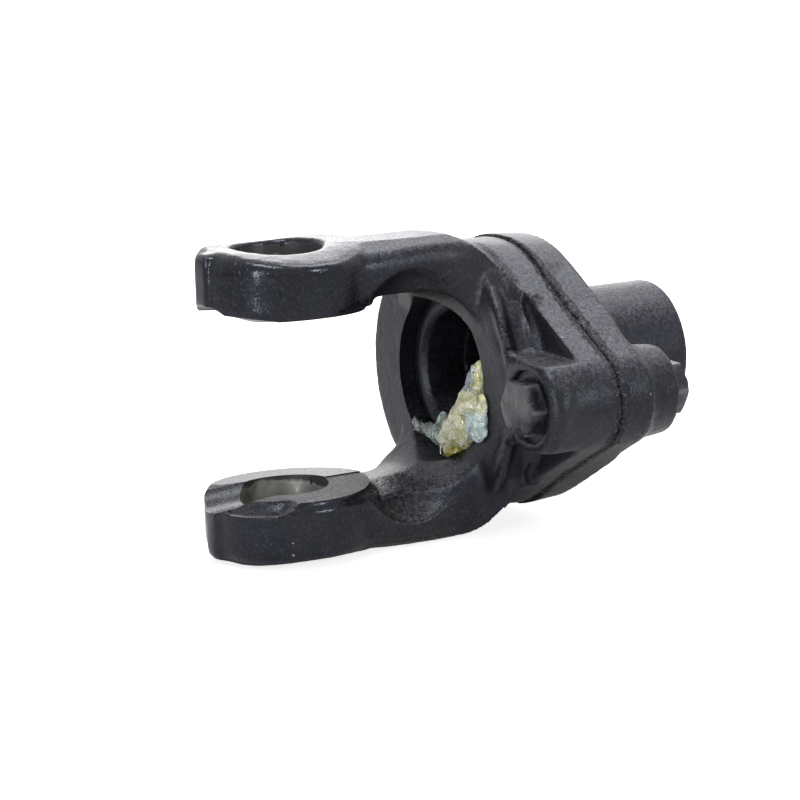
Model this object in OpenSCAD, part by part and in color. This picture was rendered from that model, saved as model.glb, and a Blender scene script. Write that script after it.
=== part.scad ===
// Shear bolt fork yoke for a drive shaft.
// X points to the bolt lobe, Y runs along the shaft from the fork to the
// hub, Z runs through the cross bores. The origin is the cross centre.

/* [Cross bores and ears] */
// Diameter of the two cross bores
cross_bore_d = 30.2; // [27:0.1:32]
// Distance over the outer faces of the ears
fork_span = 105; // [101:0.5:109]
// Gap between the machined inner faces of the ears
fork_gap = 58.6; // [56:0.2:60]
// Width of an ear across the cross bore
ear_w = 57.6; // [56:0.2:60]
// Diameter of the flat outer face of an ear
ear_face_d = 46; // [42:0.5:48]
// Distance from the cross centre to the tip of the ears
ear_tip = 28.3; // [28:0.1:30]
// Distance that the round of an ear lies behind the cross bore
ear_back = 1.9; // [0:0.1:2.5]
// Radius of the crown over the outer faces, on the lobe's side
crown_r = 110; // [80:5:200]
// Radius about the shaft of the arms on the side away from the lobe
arm_back_r = 51.2; // [50.5:0.1:53]
// Radius of the ears' outer faces on the side away from the lobe
ear_back_r = 32; // [28:1:45]
// Draft of the inner faces that stay as forged, in degrees
ear_draft = 5; // [1:0.5:6]
// Diameter of the machined face round the bore inside the ear
ear_boss_d = 54.2; // [50:0.2:55]
// Fall of the entry slope from the bore to the tip, in degrees
entry_slope = 6; // [3:0.5:7]
// Radius of the entry groove between the bore and the tip
entry_groove_r = 21; // [19:0.5:24]
// Depth of the entry groove at the bore
entry_groove_depth = 4.9; // [3.5:0.1:5.2]
// Fall of the entry groove from the bore to the tip, in degrees
entry_groove_fall = 4; // [2:0.5:5]

/* [Arms] */
// Height of the arms' outer faces above the shaft axis
arm_h = 51.4; // [50.5:0.1:52]
// Width of an arm at its waist
arm_waist_w = 48; // [44:0.5:50]
// Radius of the hollow sides of the arms
arm_side_r = 24; // [20:1:28]
// Radius of the hollows in the inner edges of the arms
arm_scoop_r = 22; // [18:0.5:23]
// Half height of the throat between the arms, at its middle
throat_h = 32; // [31:0.2:33]
// Growth of the throat from its middle to its edge
throat_draft = 6; // [3:0.5:7]
// Radius of the throat's corners
throat_r = 20; // [16:0.5:22]

/* [Flange ring] */
// Outer diameter of the yoke's flange ring
ring_d = 92.4; // [90:0.2:97]
// Distance from the cross centre to the ring's front face
ring_front = 62; // [60:0.2:64]
// Distance from the cross centre to the joint face of the two flanges
joint_y = 85.5; // [83:0.5:88]
// Thickness of the lobe's web beside the joint face
web_t = 11.5; // [9:0.5:13]
// Bore of the ring that the hub's journal turns in
ring_bore_d = 57; // [54:0.2:58]

/* [Shear bolt lobe] */
// Distance from the shaft axis to the shear bolt
bolt_x = 59; // [57:0.5:62]
// Radius of the lobe at the joint face
lobe_r = 17.4; // [16:0.2:19]
// Height of the front boss under the bolt head, across the lobe
boss_h = 29; // [26:0.5:31]
// Height of the front boss above the ring's front face
boss_rise = 2.2; // [1.5:0.1:3]
// Diameter of the spot face under the bolt head
spot_d = 24; // [22.5:0.5:26]
// Depth of the spot face
spot_depth = 1.8; // [0.5:0.1:2.2]

/* [Splined hub] */
// Diameter of the hub's flange
hub_flange_d = 94.4; // [93:0.2:98]
// Thickness of the hub's flange
hub_flange_t = 12.8; // [11:0.2:15]
// Height of the rear boss behind the hub's flange
rear_boss_h = 11.7; // [9:0.1:13]
// Radius of the rear boss at its end
rear_boss_r = 15; // [13.5:0.25:16]
// Outer diameter of the hub's barrel
barrel_d = 48.8; // [46:0.2:52]
// Distance from the cross centre to the end of the hub
hub_end = 149.5; // [140:0.5:160]
// Distance from the cross centre to the front end of the journal
journal_front = 67.5; // [66:0.25:69]
// Radius of the journal's mouth
mouth_r = 24.3; // [23.5:0.1:25]
// Radius of the recess behind the mouth
recess_r = 22; // [20.5:0.25:22.5]
// Distance from the cross centre to the bottom of the recess
recess_end = 95; // [88:0.5:97]
// Width of the chamfer at the barrel's end
barrel_chamfer = 1; // [0.3:0.1:1.5]

/* [Spline] */
// Inner diameter between the splines
spline_minor_d = 29.8; // [27:0.1:31]
// Outer diameter of the spline grooves
spline_major_d = 35; // [33:0.1:37]
// Width of a spline groove
spline_groove_w = 8.7; // [7:0.1:9.5]

/* [Shear bolt and nut] */
// Thread diameter of the shear bolt
bolt_d = 10; // [9:0.5:10.5]
// Length of the shear bolt under its head
bolt_length = 60; // [57:1:64]
// Width across the flats of the bolt head and the nut
hex_af = 17; // [16:0.5:18]
// Height of the bolt head
head_h = 6.4; // [5.5:0.1:7]
// Height of the lock nut
nut_h = 8; // [6:0.5:9]

/* [Retaining ring] */
// Wire diameter of the retaining ring
ring_wire_d = 3.2; // [2.6:0.1:3.4]
// Distance from the cross centre to the retaining ring
ring_wire_y = 76; // [73:0.5:79]
// Opening of the retaining ring, in degrees
ring_gap_angle = 24; // [12:1:50]

/* [Clearances] */
// Gap between the journal and the ring's bore
journal_clear = 0.15; // [0.1:0.05:0.4]
// Gap between the bolt and its holes
bolt_clear = 0.25; // [0.1:0.05:0.5]
// Gap between the bolt and the nut's plain bore
thread_clear = 0.1; // [0.05:0.05:0.2]
// Gap between the retaining wire and its grooves
wire_clear = 0.12; // [0.08:0.02:0.2]
// Gap between the smeared grease and the metal
grease_clear = 0.35; // [0.3:0.05:0.6]

/* [Hidden] */
$fn = 96;
eps = 0.01;
over = 1;

cast_black = [0.13, 0.13, 0.14];
dull_black = [0.17, 0.17, 0.18];
bright_steel = [0.62, 0.61, 0.58];
grease_cream = [0.72, 0.74, 0.52];

ear_out = fork_span / 2;
ear_in = fork_gap / 2;
ear_r = ear_w / 2;
ear_face_r = ear_face_d / 2;
ear_boss_r = ear_boss_d / 2;
ear_edge_r = ear_r - ear_face_r;
ear_lip = 3.2;
half_step = 0.4;
tip_pad_w = 8;
tip_pad_low = 35;
ring_r = ring_d / 2;
ring_bore_r = ring_bore_d / 2;
journal_r = ring_bore_r - journal_clear;
hub_flange_r = hub_flange_d / 2;
hub_flange_draft = 1;
barrel_r = barrel_d / 2;
barrel_fillet = 3;
arm_side_y = sqrt(pow(ear_r + arm_side_r, 2) - pow(arm_waist_w / 2 + arm_side_r, 2));
web_front = joint_y - web_t;
boss_front = ring_front - boss_rise;
head_seat = boss_front + spot_depth;
hub_flange_back = joint_y + hub_flange_t;
nut_seat = hub_flange_back + rear_boss_h;
bolt_hole_r = bolt_d / 2 + bolt_clear;
bolt_body_r = bolt_d / 2 - thread_clear;

// Turns a shape that was drawn up Z so that it runs along Y
module along_y(y = 0) {
    translate([0, y, 0]) rotate([-90, 0, 0]) children();
}

// A round bar along Y, which may taper
module bar_y(r, y0, y1, r_end = -1, x = 0) {
    translate([x, 0, 0]) along_y(y0)
        cylinder(h = y1 - y0, r1 = r, r2 = r_end < 0 ? r : r_end);
}

function arc(c, r, a0, a1, n) =
    [for (i = [0:n]) c + r * [cos(a0 + (a1 - a0) * i / n), sin(a0 + (a1 - a0) * i / n)]];

// Outline of a ring and a lobe joined by their two common tangents
module teardrop(r, lobe) {
    a = acos((r - lobe) / bolt_x);
    circle(r);
    translate([bolt_x, 0]) circle(lobe);
    polygon([r * [cos(a), sin(a)], [bolt_x, 0] + lobe * [cos(a), sin(a)],
             [bolt_x, 0] + lobe * [cos(a), -sin(a)], r * [cos(a), -sin(a)]]);
}

// One ear with a round edge, without its bore
module ear() {
    edge_c = [ear_face_r, ear_out - ear_edge_r];
    translate([0, ear_back, 0]) rotate_extrude() polygon(concat(
        [[0, ear_in - half_step], [ear_boss_r, ear_in - half_step],
         [ear_boss_r, ear_in + 1], [ear_r, ear_in + ear_lip]],
        arc(edge_c, ear_edge_r, 0, 90, 7),
        [[0, ear_out]]));
    translate([-tip_pad_w / 2, -ear_tip, tip_pad_low])
        cube([tip_pad_w, ear_tip, ear_out - tip_pad_low - 0.8]);
}

// Inner face of one ear: half of it milled, half drafted, with an entry slope and groove at the tip
module ear_milling() {
    slope_start = ear_boss_r * 0.3;
    groove_x = -1;
    groove_in = 8.5;
    translate([half_step, -ear_tip - over, 0]) cube([ear_w, ear_tip + ear_boss_r + ear_back, ear_in]);
    translate([0, -ear_tip - over, ear_in - half_step]) rotate([0, 180 + ear_draft, 0])
        cube([ear_w, ear_tip + ear_boss_r + ear_back, ear_w]);
    translate([0, -slope_start, ear_in]) rotate([-entry_slope, 0, 0])
        translate([-ear_w, -ear_w, -ear_in]) cube([2 * ear_w, ear_w, ear_in]);
    translate([groove_x, -cross_bore_d / 2, ear_in + entry_groove_depth]) rotate([-entry_groove_fall, 0, 0])
        translate([0, 0, -entry_groove_r]) along_y(-ear_r) cylinder(h = ear_r + groove_in, r = entry_groove_r);
}

// Profile of the throat between the arms, in the Y-Z plane
module throat_outline(h, depth, r) {
    polygon(concat([[-ear_w, -h]], arc([depth - r, -h + r], r, -90, 0, 10),
                   arc([depth - r, h - r], r, 0, 90, 10), [[-ear_w, h]]));
}

// Cut between the arms, which opens towards both sides like its forging dies
module throat() {
    side = ring_r + 4;
    for (s = [-1, 1]) hull() {
        rotate([90, 0, 90]) translate([0, 0, -s * eps]) linear_extrude(eps)
            throat_outline(throat_h, ring_front, throat_r);
        translate([s * side, 0, 0]) rotate([90, 0, 90]) linear_extrude(eps)
            throat_outline(throat_h + throat_draft, ring_front + 0.8, throat_r - 2);
    }
}

// One side's cut along both arms, round at both ends, which also rounds the arms' outer edges
module arm_side_cut() {
    edge = 6;
    side_z = arm_h - 1.6;
    profile = concat([[0, 0], [arm_side_r, 0]],
        arc([arm_side_r + edge, side_z - edge], edge, 180, 96, 6),
        [[arm_side_r + 14, side_z + 4], [0, side_z + 4]]);
    last_y = ring_front - arm_side_r / 2;
    translate([arm_waist_w / 2 + arm_side_r, 0, 0]) {
        for (y = [arm_side_y, last_y]) translate([0, y, 0]) rotate_extrude() polygon(profile);
        translate([0, last_y, 0]) rotate([90, 0, 0]) linear_extrude(last_y - arm_side_y)
            polygon([for (q = profile) [-q[0], q[1]]]);
        translate([0, arm_side_y, 0]) cube([ring_r, last_y - arm_side_y, fork_span / 2]);
    }
}

// Both arms, which fall off to the ring at their ends
module arms() {
    start = ear_r * (arm_side_y / (ear_r + arm_side_r));
    fall_r = 20;
    fall = 52;
    fall_y = 50;
    fall_end = [fall_y, arm_h - fall_r] + fall_r * [sin(fall), cos(fall)];
    reach = joint_y - 7 - fall_end[0];
    arm_reach_x = 34;
    upper = concat([[start, ear_out], [22, ear_out - 0.1], [30, arm_h + 0.2]],
        arc([fall_y, arm_h - fall_r], fall_r, 90, 90 - fall, 6),
        [fall_end + reach * [1, -tan(fall)]]);
    difference() {
        intersection() {
            rotate([90, 0, 90]) linear_extrude(2 * arm_reach_x, center = true)
                polygon(concat(upper, [for (i = [len(upper) - 1:-1:0]) [upper[i][0], -upper[i][1]]]));
            along_y() rotate_extrude() polygon([[0, start - over], [ring_r + 11, start - over],
                [ring_r + 11, ring_front - 5], [ring_r, joint_y - 8], [0, joint_y - 8]]);
        }
        for (s = [0, 1], t = [0, 1]) mirror([s, 0, 0]) mirror([0, 0, t]) {
            arm_side_cut();
            translate([arm_waist_w / 2 + 12, ear_in + 7.7, ear_in - 5.3]) sphere(arm_scoop_r);
        }
    }
}

// Limit of the outer faces from one place across the shaft towards the lobe
module crown(from_x) {
    intersection() {
        translate([0, 0, ear_out - crown_r]) bar_y(crown_r, -ear_w, joint_y);
        translate([0, 0, crown_r - ear_out]) bar_y(crown_r, -ear_w, joint_y);
        translate([from_x, -ear_w, -fork_span]) cube([2 * ring_r, 2 * joint_y, 2 * fork_span]);
    }
}

module arm_limit() {
    bar_y(arm_back_r, -ear_w, joint_y);
    crown(0);
}

module ear_limit() {
    fall_x = -9;
    fall_z = ear_out - pow(fall_x, 2) / (2 * crown_r) - ear_back_r;
    for (t = [-1, 1]) translate([fall_x, 0, t * fall_z]) bar_y(ear_back_r, -ear_w, ear_w);
    crown(fall_x);
}

// Disc of the flange, with a round front edge, a little inside the arms on the lobe's side
module ring_body() {
    edge = 2.6;
    front = ring_front - 0.3;
    body_r = ring_r - 0.4;
    translate([-0.9, 0, 0]) along_y() rotate_extrude() polygon(concat(
        [[0, front]], arc([body_r - edge, front + edge], edge, -90, 0, 5),
        [[body_r, joint_y], [0, joint_y]]));
}

// Web and front boss that carry the shear bolt
module bolt_lobe() {
    edge = 3.5;
    along_y(web_front) linear_extrude(web_t) teardrop(ring_r, lobe_r);
    intersection() {
        union() {
            translate([bolt_x, 0, 0]) along_y(boss_front) rotate_extrude() polygon(concat(
                [[0, 0], [lobe_r - 0.4 - edge, 0]], arc([lobe_r - 0.4 - edge, edge], edge, -90, 0, 5),
                [[lobe_r - 0.1, joint_y - boss_front - 3], [0, joint_y - boss_front - 3]]));
            translate([ring_bore_r + 3, ring_front, -lobe_r])
                cube([bolt_x - ring_bore_r - 3, joint_y - ring_front - 3, 2 * lobe_r]);
        }
        translate([ring_bore_r, boss_front, -boss_h / 2]) cube([bolt_x, joint_y - boss_front, boss_h]);
    }
}

module fork_yoke() color(cast_black) difference() {
    union() {
        difference() {
            intersection() {
                union() {
                    arms();
                    ring_body();
                }
                arm_limit();
            }
            throat();
        }
        intersection() {
            for (s = [0, 1]) mirror([0, 0, s]) ear();
            ear_limit();
        }
        bolt_lobe();
    }
    for (m = [[0, 0, 1], [1, 0, 0]]) mirror(m) ear_milling();
    translate([0, 0, -ear_out - over]) cylinder(h = fork_span + 2 * over, d = cross_bore_d);
    bar_y(ring_bore_r, ring_front - 20, joint_y + over);
    bar_y(bolt_hole_r, boss_front - over, joint_y + over, x = bolt_x);
    bar_y(spot_d / 2, boss_front - over, head_seat, x = bolt_x);
    along_y(ring_wire_y) wire(ring_wire_d / 2 + wire_clear);
}

// Section of the retaining wire turned about the shaft
module wire(r, sweep = 360) {
    rotate_extrude(angle = sweep) translate([ring_bore_r, 0]) circle(r, $fn = 32);
}

module splined_hub() color(cast_black) difference() {
    union() {
        bar_y(journal_r, journal_front, joint_y + over);
        bar_y(hub_flange_r, joint_y, hub_flange_back, hub_flange_r - hub_flange_draft);
        along_y(joint_y) linear_extrude(hub_flange_t)
            teardrop(hub_flange_r - hub_flange_draft, lobe_r);
        bar_y(lobe_r, joint_y, nut_seat, rear_boss_r, x = bolt_x);
        bar_y(barrel_r, hub_flange_back - over, hub_end - barrel_chamfer);
        bar_y(barrel_r, hub_end - barrel_chamfer, hub_end, barrel_r - barrel_chamfer);
        bar_y(barrel_r + barrel_fillet, hub_flange_back - eps, hub_flange_back + barrel_fillet, barrel_r);
    }
    mouth_chamfer = mouth_r - recess_r;
    bar_y(mouth_r, journal_front - over, journal_front);
    bar_y(mouth_r, journal_front - eps, journal_front + mouth_chamfer, recess_r);
    bar_y(recess_r, journal_front, recess_end);
    bar_y(spline_minor_d / 2, recess_end - over, hub_end + over);
    intersection() {
        bar_y(spline_major_d / 2, recess_end - over, hub_end + over);
        for (a = [0:60:120]) rotate([0, a, 0])
            translate([-spline_major_d, recess_end - over, -spline_groove_w / 2])
                cube([2 * spline_major_d, hub_end - recess_end + 2 * over, spline_groove_w]);
    }
    spline_lead = 1.5;
    bar_y(spline_major_d / 2 - spline_lead / 2, hub_end - spline_lead, hub_end + eps, spline_major_d / 2 + spline_lead / 2);
    bar_y(bolt_hole_r, joint_y - over, nut_seat + over, x = bolt_x);
    ring_slot_w = ring_wire_d / 2 + wire_clear;
    difference() {
        bar_y(journal_r + over, ring_wire_y - ring_slot_w, ring_wire_y + ring_slot_w);
        bar_y(ring_bore_r - ring_wire_d - 0.4, ring_wire_y - ring_slot_w - over, ring_wire_y + ring_slot_w + over);
    }
}

module retaining_ring() color(bright_steel)
    along_y(ring_wire_y) rotate([0, 0, ring_gap_angle / 2]) wire(ring_wire_d / 2, 360 - ring_gap_angle);

// Hexagon along Y with its corners turned down at one end, or at both
module hexagon(h, both = false) {
    corner = hex_af / cos(30) / 2;
    face_r = 0.475 * hex_af;
    turn = (corner - face_r) * tan(30);
    intersection() {
        cylinder(h = h, r = corner, $fn = 6);
        rotate_extrude() polygon([[0, 0], [face_r, 0], [corner, turn],
            [corner, both ? h - turn : h], [both ? face_r : corner, h], [0, h]]);
    }
}

module shear_bolt() color(dull_black) translate([bolt_x, 0, 0]) {
    tip = 1;
    along_y(head_seat - head_h) hexagon(head_h);
    bar_y(bolt_body_r, head_seat - over, head_seat + bolt_length - tip);
    bar_y(bolt_body_r, head_seat + bolt_length - tip, head_seat + bolt_length, bolt_body_r - tip);
}

module lock_nut() color(dull_black) translate([bolt_x, 0, 0]) difference() {
    along_y(nut_seat) hexagon(nut_h, true);
    bar_y(bolt_d / 2, nut_seat - over, nut_seat + nut_h + over);
}

// Grease that was pressed out of the journal and lies in the ring's mouth
module grease_smear() color(grease_cream) {
    mouth_limit = ring_bore_r - grease_clear;
    intersection() {
        hull() {
            translate([19, ring_front + 1, -6]) sphere(6.5, $fn = 24);
            translate([15, ring_front + 1, -17]) sphere(7.5, $fn = 24);
            translate([4, ring_front + 0.5, -22]) sphere(4.5, $fn = 24);
        }
        union() {
            bar_y(mouth_limit, ring_front - 12, journal_front - grease_clear);
            bar_y(recess_r - grease_clear, ring_front, recess_end - over);
        }
    }
}

fork_yoke();
splined_hub();
retaining_ring();
shear_bolt();
lock_nut();
grease_smear();
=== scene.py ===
import math
import random
import bpy
from mathutils import Matrix, Vector


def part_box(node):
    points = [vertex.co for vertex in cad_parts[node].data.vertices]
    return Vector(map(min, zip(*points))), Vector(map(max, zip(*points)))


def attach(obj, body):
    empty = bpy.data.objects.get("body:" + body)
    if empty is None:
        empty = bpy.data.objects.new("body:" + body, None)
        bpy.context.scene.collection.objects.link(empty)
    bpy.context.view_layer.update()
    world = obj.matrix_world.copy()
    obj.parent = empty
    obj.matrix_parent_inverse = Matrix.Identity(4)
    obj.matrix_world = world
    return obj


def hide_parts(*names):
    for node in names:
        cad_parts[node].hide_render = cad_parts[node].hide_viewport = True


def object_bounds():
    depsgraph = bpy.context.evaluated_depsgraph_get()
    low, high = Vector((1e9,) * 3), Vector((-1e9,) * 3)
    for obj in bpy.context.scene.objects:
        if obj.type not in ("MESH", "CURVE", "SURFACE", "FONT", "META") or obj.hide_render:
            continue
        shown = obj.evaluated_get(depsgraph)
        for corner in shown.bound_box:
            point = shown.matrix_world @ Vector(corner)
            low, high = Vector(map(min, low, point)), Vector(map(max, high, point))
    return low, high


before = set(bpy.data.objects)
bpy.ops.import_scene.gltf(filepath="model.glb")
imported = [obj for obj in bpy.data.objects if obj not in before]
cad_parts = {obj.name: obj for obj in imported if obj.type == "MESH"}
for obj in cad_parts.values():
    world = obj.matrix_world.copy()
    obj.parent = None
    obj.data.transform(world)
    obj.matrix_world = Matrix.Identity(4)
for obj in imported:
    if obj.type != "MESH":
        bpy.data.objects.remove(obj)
cadLow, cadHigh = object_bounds()
scene = bpy.context.scene
print("frame loaded")


# small helpers for working on one object at a time
def pickOnly(piece):
    bpy.ops.object.select_all(action="DESELECT")
    piece.select_set(True)
    bpy.context.view_layer.objects.active = piece


def applyModifier(piece, kind, **settings):
    pickOnly(piece)
    modifier = piece.modifiers.new(kind.title(), kind)
    for key, value in settings.items():
        setattr(modifier, key, value)
    bpy.ops.object.modifier_apply(modifier=modifier.name)


def settle(piece):
    # place, turn and scale go into the mesh
    pickOnly(piece)
    bpy.ops.object.transform_apply(location=True, rotation=True, scale=True)


def nameIt(piece, name):
    piece.name = name
    piece.data.name = name
    return piece


def copyNode(node, name):
    # a merged copy of a CAD node, free of its body
    piece = bpy.data.objects.new(name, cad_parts[node].data.copy())
    piece.data.name = name
    scene.collection.objects.link(piece)
    piece.data.materials.clear()
    pickOnly(piece)
    bpy.ops.object.mode_set(mode="EDIT")
    bpy.ops.mesh.select_all(action="SELECT")
    bpy.ops.mesh.remove_doubles(threshold=0.000002)
    bpy.ops.mesh.customdata_custom_splitnormals_clear()
    bpy.ops.object.mode_set(mode="OBJECT")
    return piece


def selectFaces(piece, wanted):
    # selects faces by a test on their centre and normal, and goes to edit mode
    pickOnly(piece)
    bpy.ops.object.mode_set(mode="EDIT")
    bpy.ops.mesh.select_mode(type="FACE")
    bpy.ops.mesh.select_all(action="DESELECT")
    bpy.ops.object.mode_set(mode="OBJECT")
    count = 0
    for face in piece.data.polygons:
        face.select = wanted(face.center, face.normal)
        count += face.select
    bpy.ops.object.mode_set(mode="EDIT")
    return count


def joinPieces(pieces, name):
    bpy.ops.object.select_all(action="DESELECT")
    for piece in pieces:
        piece.select_set(True)
    bpy.context.view_layer.objects.active = pieces[0]
    if len(pieces) > 1:
        bpy.ops.object.join()
    joined = bpy.context.active_object
    return nameIt(joined, name)


def cutAway(piece, cutter, how="DIFFERENCE"):
    applyModifier(piece, "BOOLEAN", operation=how, object=cutter, solver="MANIFOLD")
    if len(piece.data.polygons) < 20:
        print("a cut failed on", piece.name)
    bpy.data.objects.remove(cutter)


def addCylinder(radius, start, end, x=0.0, z=0.0, vertices=96, endRadius=None):
    # a bar along Y
    bpy.ops.object.select_all(action="DESELECT")
    bpy.ops.mesh.primitive_cone_add(
        vertices=vertices, radius1=radius, radius2=radius if endRadius is None else endRadius,
        depth=end - start, location=(x, (start + end) / 2, z), rotation=(-math.pi / 2, 0, 0))
    bar = bpy.context.active_object
    settle(bar)
    return bar


def addBox(low, high):
    bpy.ops.object.select_all(action="DESELECT")
    low, high = Vector(low), Vector(high)
    bpy.ops.mesh.primitive_cube_add(size=1, location=(low + high) / 2, scale=high - low)
    box = bpy.context.active_object
    settle(box)
    return box


def ripple(piece, name, size, strength):
    # a slight waviness, as castings and forgings have
    cloud = bpy.data.textures.new(name, "CLOUDS")
    cloud.noise_scale = size
    cloud.noise_depth = 2
    applyModifier(piece, "DISPLACE", texture=cloud, texture_coords="LOCAL", strength=strength,
                  mid_level=0.5)


def softenWhere(piece, weightOf, rounds):
    # smooths the vertices that have a weight, which gives a forging's fillets
    group = piece.vertex_groups.new(name="soften")
    for vertex in piece.data.vertices:
        weight = weightOf(vertex.co)
        if weight > 0:
            group.add([vertex.index], min(1.0, weight), "REPLACE")
    applyModifier(piece, "SMOOTH", factor=0.5, iterations=rounds, vertex_group="soften")
    piece.vertex_groups.remove(piece.vertex_groups["soften"])


def soften(piece, centre, size, rounds):
    # the same for a round region, fading out towards its edge
    centre, size = Vector(centre), Vector(size)

    def weightOf(place):
        d = place - centre
        return 2.5 * (1 - math.sqrt(sum((d[i] / size[i]) ** 2 for i in range(3))))
    softenWhere(piece, weightOf, rounds)


def pushOut(piece, centre, size, shift):
    # moves a round region, fading out towards its edge
    centre, size, shift = Vector(centre), Vector(size), Vector(shift)
    for vertex in piece.data.vertices:
        d = vertex.co - centre
        away = sum((d[i] / size[i]) ** 2 for i in range(3))
        if away < 1:
            vertex.co += shift * (1 - away) ** 2


def raiseRib(piece, points, width, rise, most=0.003, farthest=0.005):
    # lifts a ridge out of the surface, up to a line that runs along its crest
    points = [Vector(point) for point in points]
    low = [min(point[i] for point in points) - width - most for i in range(3)]
    high = [max(point[i] for point in points) + width + most for i in range(3)]
    moves = []
    for vertex in piece.data.vertices:
        place, out = vertex.co, vertex.normal
        if any(place[i] < low[i] or place[i] > high[i] for i in range(3)):
            continue
        best = (width, 0.0)
        for start, end in zip(points, points[1:]):
            side = end - start
            share = min(1.0, max(0.0, (place - start).dot(side) / side.length_squared))
            gap = start + share * side - place
            best = min(best, ((gap - gap.dot(out) * out).length, gap.dot(out)))
        across, above = best
        if across < width and abs(above) < farthest:
            lift = min(most, max(0.0, above) + rise)
            moves.append((vertex, out * lift * (1 - (across / width) ** 2) ** 2))
    for vertex, move in moves:
        vertex.co += move


def keepInside(piece, node):
    # nothing stands proud of the CAD node's own box
    low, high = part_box(node)
    for vertex in piece.data.vertices:
        for i in range(3):
            vertex.co[i] = min(max(vertex.co[i], low[i]), high[i])


def fade(value, start, end):
    share = min(1.0, max(0.0, (value - start) / (end - start)))
    return share * share * (3 - 2 * share)


def readTable(table, value):
    # straight lines between the table's pairs, and its last value past them
    for (x0, y0), (x1, y1) in zip(table, table[1:]):
        if value <= x1:
            return y0 + (y1 - y0) * (value - x0) / (x1 - x0)
    return table[-1][1]


def giveMaterials(piece, *materials):
    piece.data.materials.clear()
    for material in materials:
        piece.data.materials.append(material)
    for face in piece.data.polygons:
        face.material_index = 0


def smoothShade(piece, degrees=35):
    pickOnly(piece)
    bpy.ops.object.shade_smooth_by_angle(angle=math.radians(degrees))


def finishPiece(piece, slotName, *nodes):
    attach(piece, "root")
    if nodes:
        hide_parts(*nodes)
    print(piece.name, "is done,", sum(len(f.vertices) - 2 for f in piece.data.polygons), "triangles")


# camera at the photograph's angle
view = {
    "place": (0.7515023, -0.3785967, 0.1859679),
    "right": (0.495859, 0.868097, -0.023055),
    "up": (-0.177766, 0.127455, 0.975784),
    "ahead": (-0.850014, 0.479753, -0.217517),
    "lens": 115.977,
}
cameraData = bpy.data.cameras.new("photoCamera")
camera = bpy.data.objects.new("photoCamera", cameraData)
scene.collection.objects.link(camera)
cameraData.sensor_width = 36
cameraData.lens = view["lens"]
cameraData.clip_start = 0.02
cameraData.clip_end = 20
columns = Matrix((view["right"], view["up"], -Vector(view["ahead"]))).transposed()
camera.matrix_world = Matrix.Translation(view["place"]) @ columns.to_4x4()
scene.camera = camera
scene.view_settings.view_transform = "Standard"


# materials
class Finish:
    # a node material with short calls for the nodes that it uses
    def __init__(self, name):
        self.material = bpy.data.materials.new(name)
        self.material.use_nodes = True
        self.nodes = self.material.node_tree.nodes
        self.links = self.material.node_tree.links
        self.shader = self.nodes["Principled BSDF"]
        self.place = self.nodes.new("ShaderNodeTexCoord").outputs["Object"]

    def add(self, kind, inputs=(), **settings):
        node = self.nodes.new(kind)
        for key, value in settings.items():
            setattr(node, key, value)
        for key, value in dict(inputs).items():
            if isinstance(value, bpy.types.NodeSocket):
                self.links.new(value, node.inputs[key])
            else:
                node.inputs[key].default_value = value
        return node

    def noise(self, scale, detail=3.0, roughness=0.55, place=None):
        return self.add("ShaderNodeTexNoise", {
            "Vector": place or self.place, "Scale": scale, "Detail": detail,
            "Roughness": roughness}).outputs["Fac"]

    def cells(self, scale, output="Distance", feature="F1", place=None):
        return self.add("ShaderNodeTexVoronoi", {"Vector": place or self.place, "Scale": scale},
                        feature=feature).outputs[output]

    def warped(self, scale, amount):
        # the place, pushed about by a noise, for uneven spots
        cloud = self.add("ShaderNodeTexNoise", {"Vector": self.place, "Scale": scale, "Detail": 3.0})
        push = self.add("ShaderNodeVectorMath", {0: cloud.outputs["Color"], "Scale": amount},
                        operation="SCALE")
        moved = self.add("ShaderNodeVectorMath", {0: self.place, 1: push.outputs[0]}, operation="ADD")
        return moved.outputs[0]

    def part(self, axis):
        # the place along one axis
        return self.add("ShaderNodeSeparateXYZ", {0: self.place}).outputs[axis]

    def ramp(self, value, low, high, lowTo=0.0, highTo=1.0):
        return self.add("ShaderNodeMapRange", {
            "Value": value, "From Min": low, "From Max": high,
            "To Min": lowTo, "To Max": highTo}, interpolation_type="SMOOTHSTEP").outputs["Result"]

    def maths(self, operation, first, second=0.0):
        node = self.add("ShaderNodeMath", {0: first, 1: second}, operation=operation)
        return node.outputs[0]

    def mix(self, share, first, second):
        node = self.nodes.new("ShaderNodeMix")
        node.data_type = "RGBA"
        for socket, value in ((node.inputs[0], share), (node.inputs[6], first), (node.inputs[7], second)):
            if isinstance(value, bpy.types.NodeSocket):
                self.links.new(value, socket)
            elif socket.type == "RGBA":
                socket.default_value = (*value, 1)
            else:
                socket.default_value = value
        return node.outputs[2]

    def facing(self, axis):
        # part of the surface's direction along one axis, at rest
        coordinates = self.nodes.new("ShaderNodeTexCoord").outputs["Normal"]
        parts = self.add("ShaderNodeSeparateXYZ", {0: coordinates})
        return parts.outputs[axis]

    def bump(self, height, distance, strength=1.0, below=None):
        inputs = {"Height": height, "Distance": distance, "Strength": strength}
        if below is not None:
            inputs["Normal"] = below
        return self.add("ShaderNodeBump", inputs).outputs["Normal"]

    def wire(self, **sockets):
        for key, value in sockets.items():
            socket = self.shader.inputs[key.replace("_", " ")]
            if isinstance(value, bpy.types.NodeSocket):
                self.links.new(value, socket)
            else:
                socket.default_value = value
        return self.material


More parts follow.
